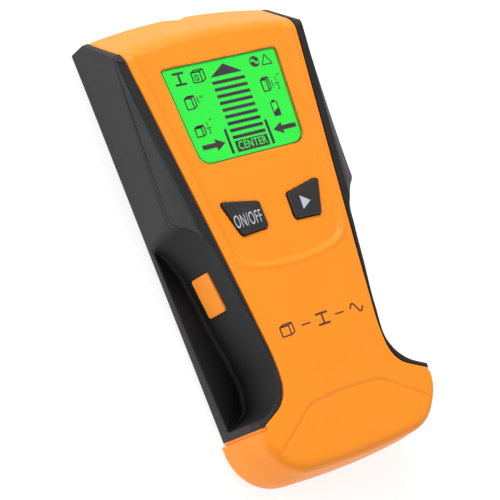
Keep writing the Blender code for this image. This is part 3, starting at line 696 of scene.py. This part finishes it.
def meet(a, b, c, d):
    """Where the line a-b crosses the line c-d, as a share of the way from a to b."""
    (ax, az), (bx, bz), (cx, cz), (dx, dz) = a, b, c, d
    cross = (bx - ax) * (dz - cz) - (bz - az) * (dx - cx)
    if abs(cross) < 1e-9:
        return 1.0
    return ((cx - ax) * (dz - cz) - (cz - az) * (dx - cx)) / cross


def round_corner(points, index, radius, steps=5):
    """Points of a rounded corner of a polyline."""
    before, here, after = (np.array(points[index + step], float) for step in (-1, 0, 1))
    reach_in = min(radius, 0.45 * np.linalg.norm(before - here))
    reach_out = min(radius, 0.45 * np.linalg.norm(after - here))
    start = here + (before - here) / (np.linalg.norm(before - here) + 1e-9) * reach_in
    end = here + (after - here) / (np.linalg.norm(after - here) + 1e-9) * reach_out
    ts = np.linspace(0, 1, steps)
    return [tuple((1 - t) ** 2 * start + 2 * t * (1 - t) * here + t**2 * end) for t in ts]


def along_curve(y, curve):
    """The curve's x at y, or a place out of reach where the curve doesn't go."""
    stations, values = curve
    return float(np.interp(y, stations, values)) if stations[0] < y < stations[-1] else OUT_OF_REACH


def grip_shape(y):
    """The right grip's outline at y: from the lip beside the face, over the rim, down and under."""
    lip = float(face_half(y)) + SEAM
    side_top, side_z = shoulder(y)
    back = back_half(y)
    full_rim = min(float(face_half(y)) + RIM_WIDTH, side_top - 0.5)
    floor = floor_height(y)
    inside = FLOOR_CURVE[0][0] < y < RECESS_TOP + 0.6
    recess_rim = along_curve(y, RIM_CURVE)
    recess_floor = along_curve(y, FLOOR_CURVE)
    side_at_floor = back + (side_top - back) * floor / side_z
    rim = (min(full_rim, recess_rim), RIM_HEIGHT)
    wall = ((recess_rim, RIM_HEIGHT), (recess_floor, floor))
    if recess_rim < full_rim:
        edge = (recess_rim + (recess_floor - recess_rim) * 0.05, RIM_HEIGHT - 1.0)
        crease_x = min(recess_floor, side_at_floor)
    elif inside:
        share = meet((full_rim, RIM_HEIGHT), (side_top, side_z), *wall)
        share = share if 0 < share < 1 else 1.0
        edge = (full_rim + (side_top - full_rim) * share, RIM_HEIGHT + (side_z - RIM_HEIGHT) * share)
        crease_x = min(recess_floor, side_at_floor)
    else:
        edge = (side_top, side_z)
        crease_x = side_at_floor
    open_recess = crease_x < side_at_floor - 0.05
    crease_z = floor if open_recess else RIDGE_Z
    if not open_recess:
        crease_x = back + (side_top - back) * crease_z / side_z
    edge_vector = np.array(edge) - np.array(rim)
    width = float(np.linalg.norm(edge_vector))
    groove = GROOVE_DEPTH * min(1, width / 3) * float(y > 1)
    normal = np.array((-edge_vector[1], edge_vector[0])) / (width + 1e-9)
    if normal[1] < 0:
        normal = -normal
    dips = []
    for share in GROOVE_EDGES:
        depth = groove if share in GROOVES else 0.0
        dips.append(tuple(np.array(rim) + edge_vector * share - normal * depth))
    corners = [
        (lip, 24.0), (lip, FACE_RIM + 0.05), rim, *dips, edge, (crease_x, crease_z),
        (side_at_floor, floor), (back, 0.0), (back - BACK_LIP, 0.0),
    ]
    radii = {1: 0.35, 2: 0.35, 9: 0.5, 10: 1.6 if open_recess else 0.5, 11: 0.5, 12: 0.7}
    outer = []
    zone = []
    for i, corner in enumerate(corners[1:-1], start=1):
        new = round_corner(corners, i, radii[i]) if i in radii else [corner]
        outer += new
        zone += [i] * len(new)
    outer += [(back - BACK_LIP, 0.0), (back - BACK_LIP, BACK_LIP_Z)]
    zone += [13, 14]
    return {"outer": outer, "zone": zone, "lip": lip, "back": back}


def hood_limit(x, z):
    heights = [point[1] for point in HOOD]
    places = [point[0] for point in HOOD]
    return np.interp(z, heights, places) - hood_back(x)


def grip_stations():
    """Stations along the grip, closer together where its shape turns faster."""
    runs = (
        (GRIP_BOTTOM, -58.3, 0.15), (-58.3, -46, 0.4), (-46, -1, 1.5),
        (-1, 11, 0.2), (11, 62, 2.5), (62, 84, 0.6),
    )
    return sorted({round(float(y), 3) for start, end, step in runs for y in np.arange(start, end, step)})


def softened(stations, rings):
    """Rings averaged along the length at the recess's upper end, where its surfaces melt together."""
    soft = []
    for y, ring in zip(stations, rings):
        reach = RAMP_SOFTNESS * ease((y - 1) / 4) * ease((14 - y) / 4)
        if reach < 0.05:
            soft.append(ring)
            continue
        weights = np.exp(-(((np.array(stations) - y) / reach) ** 2)) * np.gradient(stations)
        blended = np.tensordot(weights / weights.sum(), np.array(rings), axes=1)
        soft.append(blended)
    return soft


def grip(name, side):
    stations = grip_stations()
    shapes = [grip_shape(y) for y in stations]
    zones = shapes[0]["zone"]
    outers = softened(stations, [np.array(shape["outer"]) for shape in shapes])
    rings = []
    for y, shape, outer in zip(stations, shapes, outers):
        inner_z = np.clip(outer[:, 1], BACK_LIP_Z, FACE_RIM - 0.3)
        inner = np.stack([np.full(len(outer), shape["lip"]), inner_z], -1)
        ring = np.concatenate([outer, inner[::-1]])
        limit = hood_limit(ring[:, 0], ring[:, 1])
        depth = smooth_min(np.full(len(ring), y), limit, 0.35)
        rings.append(np.stack([side * ring[:, 0], depth, ring[:, 1]], -1))
    bm, grid = skin(rings, closed=True)
    count = len(zones)
    bm.faces.ensure_lookup_table()
    size = 2 * count
    for index, face in enumerate(bm.faces):
        place = index % size
        if place < count and 2 < zones[place] < 9 and rings[index // size][place][1] > 2:
            face.material_index = 1
    for ring in (grid[0], grid[-1]):
        for i in range(count - 1):
            bm.faces.new((ring[i], ring[i + 1], ring[size - 2 - i], ring[size - 1 - i]))
    bmesh.ops.remove_doubles(bm, verts=bm.verts, dist=0.002)
    bmesh.ops.dissolve_degenerate(bm, edges=bm.edges, dist=0.001)
    bmesh.ops.recalc_face_normals(bm, faces=bm.faces)
    piece = mesh_piece(name, bm, (BLACK, INLAY), sharp=GRIP_CREASE)
    if side < 0:
        cut(piece, [side_key_hole()])
        finish_mesh(piece, (BLACK, INLAY), GRIP_CREASE)
    return piece


# ---------------------------------------------------------------- keys

def capped(outline_at, levels):
    """A solid from an outline function of its growth, through (growth, height) levels."""
    return solid_of_rings([[(x, y, z) for x, y in outline_at(grow)] for grow, z in levels])


def dome_levels(low, high, radius):
    """Levels of a cap with a rounded edge and a slightly crowned top."""
    arc = [(radius * (math.cos(a) - 1), high - 0.12 - radius + radius * math.sin(a))
           for a in np.linspace(0, math.pi / 2, 7)]
    crowned = [(-radius - 0.5, high - 0.07), (-radius - 1.4, high - 0.02), (-radius - 2.4, high)]
    return [(0, low), *arc, *crowned]


def face_key(name, node, side):
    levels = dome_levels(KEY_ROOT, KEY_TOP, KEY_EDGE)
    key = mesh_piece(name, capped(lambda grow: shrink_key(side, grow), levels), KEY_BLACK, node)
    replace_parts(key, node)


def shrink_key(side, grow):
    """The key's outline drawn in evenly, without turning its corners inside out."""
    outline = np.array(key_outline(side, max(grow, 0.1 - KEY_RADIUS)))
    middle = outline.mean(axis=0)
    extra = max(0.0, 0.1 - KEY_RADIUS - grow)
    return [tuple(p) for p in middle + (outline - middle) * (1 - extra / 6.0)]


def side_key_ring(inset, out):
    y, z = (size / 2 - inset for size in SIDE_KEY_SIZE)
    corner = max(0.15, SIDE_KEY_CORNER - inset)
    return [(out, a, b) for a, b in rounded(((-y, -z), (y, -z), (y, z), (-y, z)), (corner,) * 4)]


def side_key_hole():
    rings = [side_key_ring(-SIDE_KEY_CLEARANCE, out) for out in (-6.0, SIDE_KEY_ROOT + 1.5)]
    return mesh_piece("side_key_hole", solid_of_rings(rings), None, None, SIDE_KEY_PLACE, SIDE_KEY_TURN)


def side_key():
    top = -SIDE_KEY_PROUD
    edge = ((0, 0.3), (0.05, 0.14), (0.15, 0.05), (0.3, 0), (1.2, -0.03))
    levels = [(0, SIDE_KEY_ROOT), *[(inset, top + drop) for inset, drop in edge]]
    bm = solid_of_rings([side_key_ring(*level) for level in levels])
    piece = mesh_piece("side_key_cap", bm, KEY_ORANGE, "side_button", SIDE_KEY_PLACE, SIDE_KEY_TURN)
    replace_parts(piece, "side_button")


# ---------------------------------------------------------------- flat marks

def stroke(start, end, width):
    a = Vector(start)
    b = Vector(end)
    along = (b - a).normalized()
    across = Vector((-along.y, along.x)) * width / 2
    return [tuple(p) for p in (a - across, b - across, b + across, a + across)]


def strokes(points, width, closed=True):
    ends = zip(points, points[1:] + points[:1] if closed else points[1:])
    return [stroke(a, b, width) for a, b in ends]


def disc(middle, radius, sides=28):
    angles = [2 * math.pi * i / sides for i in range(sides)]
    return [(middle[0] + radius * math.cos(a), middle[1] + radius * math.sin(a)) for a in angles]


def bar(x0, x1, y0, y1):
    return [(x0, y0), (x1, y0), (x1, y1), (x0, y1)]


def marks(name, shapes, height, material, body=HOUSING, lift=0.0, thick=0.05):
    """Thin raised marks; height is a number or a function of x and y."""
    bm = bmesh.new()
    for number, shape in enumerate(shapes):
        step = lift + 0.002 * (number % 5)
        levels = []
        for rise in (-0.05, thick + step):
            ring = []
            for x, y in shape:
                z = float(height(np.array(x), np.array(y))) if callable(height) else height
                ring.append(bm.verts.new((x, y, z + rise)))
            levels.append(ring)
        low, high = levels
        for i in range(len(low)):
            j = (i + 1) % len(low)
            bm.faces.new((low[i], low[j], high[j], high[i]))
        bm.faces.new(low[::-1])
        bm.faces.new(high)
    bmesh.ops.recalc_face_normals(bm, faces=bm.faces)
    return mesh_piece(name, bm, material, body)


def lettering(name, text, size, place, material, body=HOUSING, narrow=1.0, thick=0.03, bold=0.0,
              spread=1.0):
    """Generic lettering as a thin mesh, centred on its place."""
    curve = bpy.data.curves.new(name, "FONT")
    curve.body = text
    curve.size = size
    curve.align_x = "CENTER"
    curve.align_y = "CENTER"
    curve.extrude = thick / 2
    curve.offset = bold
    curve.space_character = spread
    writer = bpy.data.objects.new(name, curve)
    bpy.context.scene.collection.objects.link(writer)
    bpy.context.view_layer.update()
    graph = bpy.context.evaluated_depsgraph_get()
    mesh = bpy.data.meshes.new_from_object(writer.evaluated_get(graph))
    bpy.data.objects.remove(writer, do_unlink=True)
    bm = bmesh.new()
    bm.from_mesh(mesh)
    bmesh.ops.scale(bm, vec=(narrow, 1, 1), verts=bm.verts)
    bmesh.ops.translate(bm, vec=place, verts=bm.verts)
    return mesh_piece(name, bm, material, body)


def block_sign(x0, x1, y0, y1, width=0.32):
    """A length of timber drawn in outline."""
    dx = 0.3 * (x1 - x0)
    dy = 0.16 * (y1 - y0)
    front = [(x0, y0), (x1 - dx, y0), (x1 - dx, y1 - dy), (x0, y1 - dy)]
    top = [(x0, y1 - dy), (x0 + dx, y1), (x1, y1), (x1 - dx, y1 - dy)]
    side = [(x1 - dx, y0), (x1, y0 + dy), (x1, y1)]
    return strokes(front, width) + strokes(top, width) + strokes(side, width, closed=False)


def beam_sign(x, y, width, height, thick=0.7):
    return [
        stroke((x - width / 2, y + height / 2), (x + width / 2, y + height / 2), thick),
        stroke((x - width / 2, y - height / 2), (x + width / 2, y - height / 2), thick),
        stroke((x, y - height / 2), (x, y + height / 2), thick),
    ]


def wave(x, y, width, height, count=14):
    steps = [i / count for i in range(count + 1)]
    return [(x + (t - 0.5) * width, y + math.sin(2 * math.pi * t) * height / 2) for t in steps]


# ---------------------------------------------------------------- display

def display_marks():
    """Everything the display can show, as dark segments on the green."""
    shapes = [[(-5.4, 53.1), (7.5, 53.2), (1.0, 57.1)]]
    for number in range(BARS):
        y = BAR_TOP - BAR_STEP * number
        shapes.append(bar(-5.5, 7.6, y - BAR_THICK, y))
    shapes.append(bar(-5.4, 7.5, 26.3, 30.2))
    shapes += [bar(x - 0.5, x + 0.5, 26.3, 35.0) for x in (-7.3, 9.0)]
    for tail, tip, y in ((-17.8, -8.9, 30.5), (19.9, 10.7, 30.9)):
        neck = tip + (tail - tip) * 0.4
        shapes.append(stroke((tail, y), (neck, y), 1.6))
        shapes.append([(neck, y - 2.1), (neck, y + 2.1), (tip, y)])
    shapes += beam_sign(-16.8, 54.9, 4.3, 3.9, 0.75)
    shapes += block_sign(-12.0, -7.2, 52.5, 56.8, ICON_LINE)
    shapes += strokes([(-10.9, 53.3), (-9.8, 53.3), (-9.8, 55.0), (-10.9, 55.0)], 0.4)
    blocks = ((-17.9, -14.1, 44.1, 48.5), (-18.1, -14.5, 34.4, 38.0), (12.8, 15.9, 44.4, 49.2))
    for x0, x1, y0, y1 in blocks:
        shapes += block_sign(x0, x1, y0, y1, ICON_LINE)
        shapes.append(stroke((x0 + 0.2, y1 - 0.5), (x1 - 1.0, y1 - 0.4), 0.6))
    shapes += strokes([(13.4, 35.4), (15.8, 35.4), (15.8, 40.3), (13.4, 40.3)], 0.38)
    shapes.append([(13.3, 35.3), (15.9, 35.3), (15.9, 38.2), (13.3, 36.6)])
    shapes.append(bar(14.0, 15.2, 40.3, 41.0))
    shapes.append(disc((13.3, 55.4), 1.95))
    shapes += strokes([(15.9, 53.6), (20.0, 53.6), (17.95, 57.2)], 0.4)
    shapes += [stroke((-13.8, 36.7), (-11.9, 36.7), 0.35), stroke((17.9, 46.4), (19.8, 46.4), 0.35)]
    segments = marks("display_segments", shapes, DISPLAY_Z, SEGMENT)
    waves = strokes(wave(13.3, 55.4, 3.0, 1.5), 0.65, closed=False)
    ripple = marks("display_ripple", waves, DISPLAY_Z + 0.06, GREEN)
    for name, text, size, place in SIGNS:
        lettering(name, text, size, (*place, DISPLAY_Z + 0.03), SEGMENT, bold=0.02)
    middle = (1.05, 28.25, DISPLAY_Z + 0.1)
    centre = lettering("sign_centre", "CENTER", 3.9, middle, GREEN, narrow=0.76, spread=1.06, bold=0.03)


def gap_shade_line():
    """Painted shade: the thin dark line around the display, where the gap and the wall of the opening
    lie in shade.
    """
    outer = window(-0.03)
    inner = window(-0.32)
    strips = [[outer[i], outer[i - 1], inner[i - 1], inner[i]] for i in range(len(outer))]
    marks("gap_shade_strips", strips, PANE_TOP + 0.01, GAP_SHADE, thick=0.02)


def display():
    cell = capped(window, ((-1.0, 25.2), (-0.5, 25.6), (-0.5, 27.0)))
    glow = mesh_piece("display_cell", cell, GREEN)
    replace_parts(glow, "lcd_upper_glass")
    display_marks()
    edge = ((-0.25, -0.70), (-0.2, -0.15), (-0.3, -0.05), (-0.45, -0.01), (-1.0, 0))
    sheet = capped(window, [(grow, PANE_TOP + drop) for grow, drop in edge])
    pane = mesh_piece("window_pane", sheet, CLEAR)
    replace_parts(pane, "lcd_lens")
    gap_shade_line()


def face_print():
    """Three plain signs for timber, metal and live wire under the keys."""
    shapes = block_sign(-15.6, -10.8, -36.3, -32.5, 0.5)
    shapes += [stroke((x, -34.5), (x + 3.6, -34.5), 0.5) for x in (-7.6, 6.0)]
    shapes += beam_sign(1.0, -34.5, 4.8, 3.6, 0.7)
    shapes += strokes(wave(15.0, -34.5, 5.2, 3.2), 0.62, closed=False)
    signs = marks("face_signs", shapes, face_height, INK, thick=0.03)


def key_legends():
    place = (-12.2, 3.5, KEY_TOP + 0.02)
    on_off = lettering("key_word", "ON/OFF", 6.2, place, LEGEND, "on_off_key", narrow=0.45, thick=0.05,
                       spread=1.1)
    triangle = [(9.4, 1.9), (13.1, 4.2), (9.6, 6.7)]
    arrow = marks("key_arrow", [triangle], KEY_TOP - 0.01, LEGEND, "mode_key")


# ---------------------------------------------------------------- foam pad

def squared(angle, power):
    """Cosine and sine drawn out towards a square."""
    pair = (math.cos(angle), math.sin(angle))
    return [math.copysign(abs(value) ** power, value) for value in pair]


def foam_pad():
    """The soft pad that presses the battery down, its sides bulging and its faces crowned."""
    low, high = (Vector(corner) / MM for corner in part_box("battery_foam"))
    middle = (low + high) / 2
    half = (high - low) / 2
    rings = []
    for angle in np.linspace(-math.pi / 2, math.pi / 2, 25):
        reach = max(0.02, squared(angle, PAD_SIDES)[0])
        rise = squared(angle, PAD_FACES)[1]
        ring = []
        for turn in np.linspace(0, 2 * math.pi, 72, endpoint=False):
            x, y = squared(turn, PAD_OUTLINE)
            ring.append(middle + Vector((half.x * x * reach, half.y * y * reach, half.z * rise)))
        rings.append(ring)
    pad = mesh_piece("foam_pad", solid_of_rings(rings), FOAM, "battery_door", sharp=80)
    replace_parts(pad, "battery_foam")


# ---------------------------------------------------------------- carried-over solids

INNER_LOOKS = {  # colour, roughness, metallic
    "grey_plastic": ((0.20, 0.20, 0.20), 0.45, 0.0),
    "circuit_board": ((0.012, 0.16, 0.055), 0.35, 0.0),
    "silicone": ((0.10, 0.08, 0.09), 0.6, 0.0),
    "chip_epoxy": ((0.018, 0.018, 0.02), 0.5, 0.0),
    "screw_steel": ((0.60, 0.60, 0.62), 0.28, 1.0),
    "copper": ((0.80, 0.38, 0.20), 0.32, 1.0),
    "ferrite": ((0.045, 0.04, 0.045), 0.6, 0.0),
    "battery_can": ((0.12, 0.12, 0.13), 0.35, 0.4),
    "red_insulation": ((0.55, 0.015, 0.015), 0.35, 0.0),
    "black_insulation": ((0.02, 0.02, 0.02), 0.35, 0.0),
    "foam": ((0.09, 0.09, 0.10), 0.95, 0.0),
    "diffuser": ((0.70, 0.82, 0.70), 0.4, 0.0),
    "clear_window": ((0.55, 0.75, 0.60), 0.1, 0.0),
    "display": ((0.05, 0.9, 0.09), 0.25, 0.0),
}


def carried_over():
    """Finishes, and eased edges, for the solids that show as they are."""
    looks = {}
    for name, (colour, rough, metal) in INNER_LOOKS.items():
        looks[name] = plastic(f"inner_{name}", colour, rough, metallic=metal)
    looks["orange_abs"] = ORANGE
    looks["black_elastomer"] = BLACK
    looks["key_plastic"] = KEY_BLACK
    slots = {entry["node"]: entry["material_slot"] for entry in frame["record"]["subparts"]}
    for node, obj in frame["nodes"].items():
        obj.data.materials.clear()
        obj.data.materials.append(looks[slots[node]])
    for node in ("rear_cover", "battery_door"):
        edge = frame["nodes"][node].modifiers.new("eased", "BEVEL")
        edge.width = 0.25 * MM
        edge.segments = 3
        edge.limit_method = "ANGLE"
        edge.angle_limit = math.radians(40)


# ---------------------------------------------------------------- studio

def studio():
    mesh = bpy.data.meshes.new("floor")
    bm = bmesh.new()
    bmesh.ops.create_grid(bm, x_segments=2, y_segments=2, size=FLOOR_HALF)
    bm.to_mesh(mesh)
    bm.free()
    floor = bpy.data.objects.new("floor", mesh)
    floor.location.z = FLOOR_Z
    bpy.context.scene.collection.objects.link(floor)
    grey = (FLOOR_GREY,) * 3
    paper = plastic("floor_paper", grey, 0.8, 2.0, 0.02, 0.004, wear=0.0, specular=0.1)
    shader = paper.node_tree.nodes["Principled BSDF"]
    shader.inputs["Emission Color"].default_value = (1, 1, 1, 1)
    shader.inputs["Emission Strength"].default_value = FLOOR_GLOW
    mesh.materials.append(paper)
    world = bpy.data.worlds.new("studio")
    world.use_nodes = True
    background = world.node_tree.nodes["Background"]
    background.inputs["Color"].default_value = (1, 1, 1, 1)
    background.inputs["Strength"].default_value = WORLD_LIGHT
    bpy.context.scene.world = world
    for light in LIGHTS:
        soft_light(*light)


def soft_light(name, place, size, power):
    light = bpy.data.lights.new(name, "AREA")
    light.shape = "DISK"
    light.size = size
    light.energy = power
    obj = bpy.data.objects.new(name, light)
    obj.location = place
    obj.rotation_euler = (-Vector(place)).to_track_quat("-Z", "Y").to_euler()
    bpy.context.scene.collection.objects.link(obj)


def camera():
    data = bpy.data.cameras.new("camera")
    data.lens = CAMERA_LENS
    data.sensor_width = CAMERA_SENSOR
    data.clip_start = 0.01
    obj = bpy.data.objects.new("camera", data)
    axes = Matrix((CAMERA_RIGHT, [-v for v in CAMERA_DOWN], [-v for v in CAMERA_FORWARD])).transposed()
    obj.matrix_world = Matrix.Translation(Vector(CAMERA_PLACE) * MM) @ axes.to_4x4()
    bpy.context.scene.collection.objects.link(obj)
    bpy.context.scene.camera = obj


def build():
    camera()
    studio()
    bpy.context.scene.view_settings.view_transform = "Standard"
    carried_over()
    shell = cover_shell()
    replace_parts(shell, "front_cover")
    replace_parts(cover_collar(), "front_cover")
    left = grip("grip_left_skin", -1)
    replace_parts(left, "left_grip")
    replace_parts(grip("grip_right_skin", 1), "right_grip")
    display()
    face_print()
    face_key("on_off_cap", "on_off_key", -1)
    face_key("mode_cap", "mode_key", 1)
    key_legends()
    side_key()
    foam_pad()


build()
